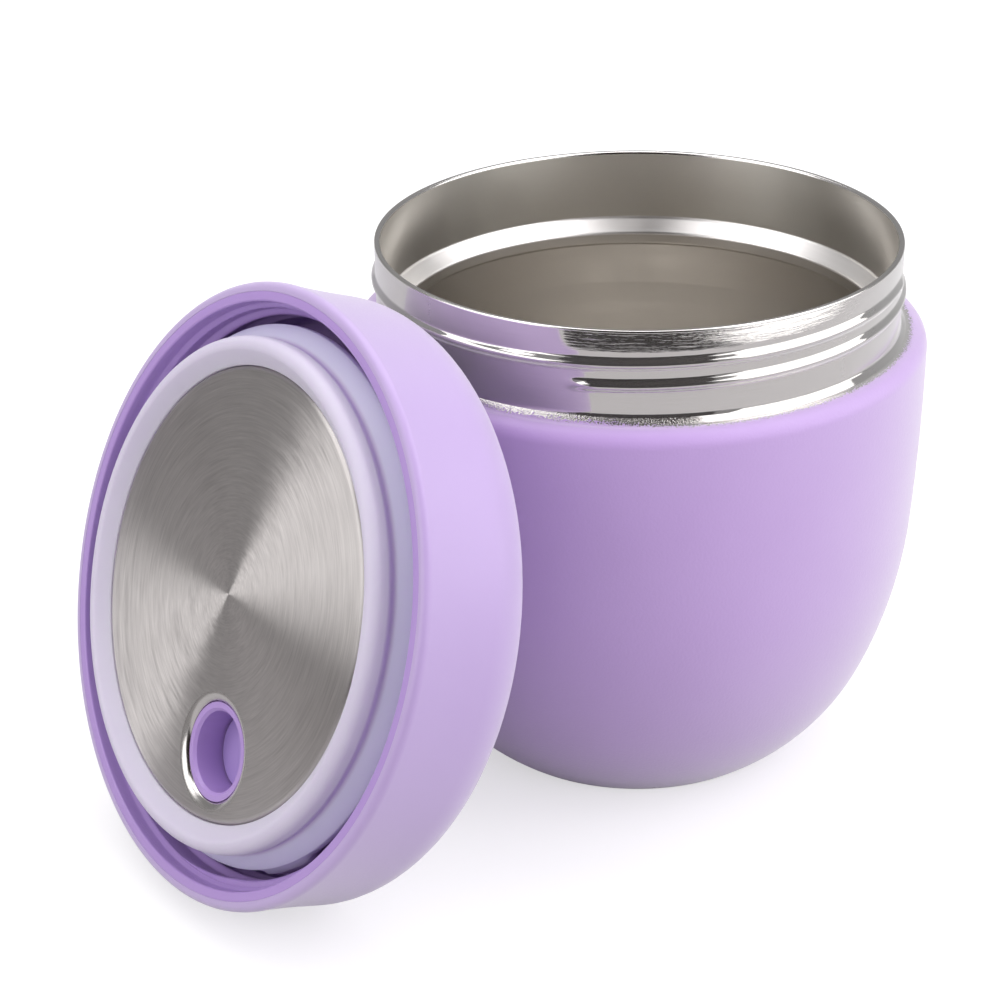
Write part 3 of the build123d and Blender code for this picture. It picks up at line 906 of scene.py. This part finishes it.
disc = disc_piece()
disc_steel = turned_steel(
    "disc_brushed_steel",
    linear(222, 217, 215),
    linear(166, 161, 160),
    0.38,
    lines_per_mm=3.0,
    depth=0.008,
    anisotropic=0.95,
    contrast=1.1,
    centre=lid_centre,
    axis=lid_out,
)
finish_piece(disc, disc_steel, "lid", "disc_steel", "steel_disc")

lip = lip_piece()
lip_steel = turned_steel(
    "disc_lip_steel",
    STEEL,
    STEEL_DARK,
    0.22,
    depth=0.002,
    anisotropic=0.2,
    centre=vent_centre,
    axis=lid_out,
)
finish_piece(lip, lip_steel, "lid", "disc_steel")


# ------------------------------------------------------------------ seal
def seal_outline():
    """The ring: rounded front lip, crease, and the second lip that widens and then tapers back."""
    lips = rounded(
        [
            (SEAL_HOLE, -1.0, 0),
            (SEAL_HOLE, -0.1, 0.3),
            (41.75, 2.0, 1.2),
            (44.05, 2.0, 1.8),
            (44.05, -1.2, 0.6),
            (43.7, -2.2, 0.6),
            (46.6, -5.11, 0.5),
            (46.6, -6.31, 0.5),
            (46.2, -7.0, 0),
            (45.8, -7.8, 0),
            (45.3, -8.7, 0),
            (44.6, -10.0, 0.5),
            (SEAL_BACK_HOLE, -10.0, 0),
        ]
    )
    return lips + [(SEAL_BACK_HOLE, -1.0), (SEAL_HOLE, -1.0)]


def silicone_ring():
    """The ring with its two lips and the small tab on the second one, by which it is pulled off."""
    seal = turned("lid_seal", seal_outline(), 320, 60)
    for vertex in seal.data.vertices:
        x, y, z = vertex.co / MM
        radius = hypot(x, y)
        aside = abs(degrees(atan2(y, x)) - TAB_ANGLE)
        if radius > 45.2 and -9.0 < z < -5.6 and aside < TAB_HALF_ANGLE:
            share = min(1, (TAB_HALF_ANGLE - aside) / 2)
            out = TAB_REACH * share + radius * (1 - share)
            vertex.co.x *= max(out, radius) / radius
            vertex.co.y *= max(out, radius) / radius
    seal.data.update()
    return set_in_place(seal, lid_place)


def silicone():
    """Translucent silicone: milky front lip, a violet band of painted shade in the crease, and behind
    it a second lip that runs from painted light, pale and bluer, near the crease to violet at its back
    edge.
    """
    finish = moulded(
        "seal_silicone",
        linear(203, 196, 213),
        linear(197, 190, 209),
        0.5,
        grain_size=0.5,
        depth=0.006,
        soft=0.6,
        soft_reach=3.0,
    )
    where = finish.group(
        turning_lines, Centre=lid_centre, Axis=lid_out, Lines_per_mm=0.2, Strokes_round=1.0
    )
    depth = where.outputs["Height"]
    milky = finish.shader.inputs["Base Color"].links[0].from_socket
    # painted light: the second lip is painted pale and bluer near the crease, to offset the shade that
    # it lies in, and violet towards its back edge
    behind = finish.blend(
        finish.spread(depth, -8.6, -4.4, 0.0, 1.0), linear(180, 157, 192), linear(208, 204, 228)
    )
    lip_colours_with_painted_light = finish.blend(finish.spread(depth, -3.0, -2.2, 0.0, 1.0), behind, milky)
    # painted shade: a darker violet band painted along the crease between the two lips
    crease = finish.math(
        "MULTIPLY",
        finish.spread(depth, -2.9, -2.2, 0.0, 1.0),
        finish.spread(depth, -2.0, -0.8, 1.0, 0.0),
    )
    return finish.feed(Base_Color=finish.blend(crease, lip_colours_with_painted_light, linear(186, 168, 208)))


seal = silicone_ring()
finish_piece(seal, silicone().material, "seal", "seal_silicone", "seal_ring")

# ------------------------------------------------------------------ vent plug
plug = merged_copy("vent_plug", "lid_vent_plug")
plug_finish = moulded(
    "plug_plastic", linear(170, 145, 205), linear(163, 138, 199), 0.36, grain_size=0.4, depth=0.008
)
finish_piece(plug, plug_finish.material, "vent", "plug_plastic", "vent_plug")

# ------------------------------------------------------------------ hidden pieces keep the CAD shape
def dress(node, material):
    """Gives a CAD node its material and leaves its shape."""
    frame["nodes"][node].data.materials.clear()
    frame["nodes"][node].data.materials.append(material)


dress("base_cup", turned_steel("base_cup_steel", STEEL, STEEL_DARK, 0.3, lines_per_mm=4.0, depth=0.004))
for node, name, colour, other_colour, roughness, grain_size, depth, soft in (
    ("getter", "getter_metal", linear(90, 90, 92), linear(70, 70, 74), 0.6, 0.3, 0.05, 0.0),
    ("vacuum_seal", "solder_glass", linear(200, 198, 184), linear(188, 186, 170), 0.2, 0.8, 0.01, 0.0),
    ("foam_core", "foam", linear(236, 232, 216), linear(226, 221, 203), 0.85, 0.7, 0.12, 0.0),
    ("plug_ring", "ring_silicone", linear(222, 218, 234), linear(214, 209, 229), 0.4, 0.4, 0.004, 0.5),
):
    dress(node, moulded(name, colour, other_colour, roughness, grain_size, depth, soft).material)


# ------------------------------------------------------------------ table, light and camera
def paper_table():
    """White paper: a little brighter for the camera than the light that it throws on the pieces."""
    bpy.ops.object.select_all(action="DESELECT")
    bpy.ops.mesh.primitive_plane_add(size=40)
    table = bpy.context.object
    table.name = "table"
    finish = Finish("table_paper", linear(192, 191, 192), 0.7)
    finish.shader.inputs["Specular IOR Level"].default_value = 0.0
    finish.shader.inputs["Emission Color"].default_value = (1.0, 1.0, 1.0, 1.0)
    grain = finish.group(surface_grain, Grain_size=1.2, Cloud_size=300.0)
    seen = finish.nodes.new("ShaderNodeLightPath").outputs["Is Camera Ray"]
    finish.feed(
        Base_Color=finish.blend(
            grain.outputs["Cloud"], linear(192, 191, 192), linear(186, 185, 186)
        ),
        Normal=finish.bump(grain.outputs["Grain"], 0.01),
        Emission_Strength=finish.math("MULTIPLY", seen, 0.58),
    )
    table.data.materials.append(finish.material)


def room():
    """An even pale room, brighter behind the pieces than in the light that it gives."""
    world = bpy.data.worlds.new("studio")
    bpy.context.scene.world = world
    world.use_nodes = True
    nodes, links = world.node_tree.nodes, world.node_tree.links
    nodes["Background"].inputs["Color"].default_value = (1.0, 1.0, 1.0, 1)
    backdrop = nodes.new("ShaderNodeMath")
    backdrop.operation = "MULTIPLY_ADD"
    backdrop.inputs[1].default_value = 0.45
    backdrop.inputs[2].default_value = 0.30
    links.new(nodes.new("ShaderNodeLightPath").outputs["Is Camera Ray"], backdrop.inputs[0])
    links.new(backdrop.outputs[0], nodes["Background"].inputs["Strength"])


def softbox(name, centre, target, width, height, radiance, mirrored=True):
    """A soft area light; mirrored says whether it shows in polished steel."""
    light = bpy.data.lights.new(name, "AREA")
    light.shape = "RECTANGLE"
    light.size = width
    light.size_y = height
    light.energy = radiance * pi * width * height
    lamp = bpy.data.objects.new(name, light)
    bpy.context.scene.collection.objects.link(lamp)
    lamp.location = centre
    lamp.rotation_euler = (Vector(target) - Vector(centre)).to_track_quat("-Z", "Y").to_euler()
    lamp.visible_glossy = mirrored
    lamp.visible_camera = False


def card(name, colour, centre, tilt, width, depth):
    """A card that shows only in the steel, to draw its darker parts."""
    bpy.ops.object.select_all(action="DESELECT")
    bpy.ops.mesh.primitive_plane_add(size=1, location=centre, rotation=(radians(tilt), 0, 0))
    board = bpy.context.object
    board.name = name
    board.scale = (width, depth, 1)
    paint = Finish(name, colour, 0.9)
    paint.shader.inputs["Specular IOR Level"].default_value = 0.0
    board.data.materials.append(paint.material)
    board.visible_camera = board.visible_diffuse = board.visible_shadow = False
    board.visible_transmission = False


def camera():
    lens = bpy.data.cameras.new("camera")
    lens.sensor_width = 36
    lens.lens = 93.29
    viewer = bpy.data.objects.new("camera", lens)
    bpy.context.scene.collection.objects.link(viewer)
    viewer.matrix_world = (
        Matrix.Translation(Vector((-25.87, -445.29, 260.3)) * MM)
        @ Matrix.Rotation(radians(64.31), 4, "X")
        @ Matrix.Rotation(radians(-0.888), 4, "Z")
    )
    bpy.context.scene.camera = viewer


bpy.context.scene.view_settings.view_transform = "Standard"
JAR_MIDDLE = (0.0, 0.0, 0.06)
paper_table()
room()
softbox("left_panel", (-0.655, -0.278, 0.363), JAR_MIDDLE, 0.75, 0.50, 2.1)
softbox("right_panel", (0.72, -0.26, 0.46), (0.0, 0.0, 0.2), 1.05, 0.84, 2.0)
softbox("left_upper_panel", (-0.47, -0.04, 0.88), JAR_MIDDLE, 0.6, 0.5, 2.0)
softbox("right_upper_panel", (0.47, -0.08, 0.88), JAR_MIDDLE, 0.7, 0.5, 2.4)
softbox("top_panel", (0.0, 0.40, 1.10), (0.0, 0.0, 0.05), 1.0, 0.8, 2.4)
softbox("front_fill", (0.30, -0.90, 0.60), (0.0, 0.0, 0.05), 0.7, 0.5, 2.2, mirrored=False)
card("front_card", linear(34, 26, 22), (-0.05, -0.80, 0.425), 90, 0.95, 0.85)
card("upper_card", linear(44, 32, 26), (-0.05, -0.45, 1.025), 26.6, 0.95, 0.79)
card("front_floor_card", linear(30, 27, 26), (-0.06, -0.62, 0.001), 0, 0.9, 0.36)
card("left_floor_card", linear(128, 126, 126), (-0.57, -0.19, 0.001), 0, 0.74, 0.5)
camera()
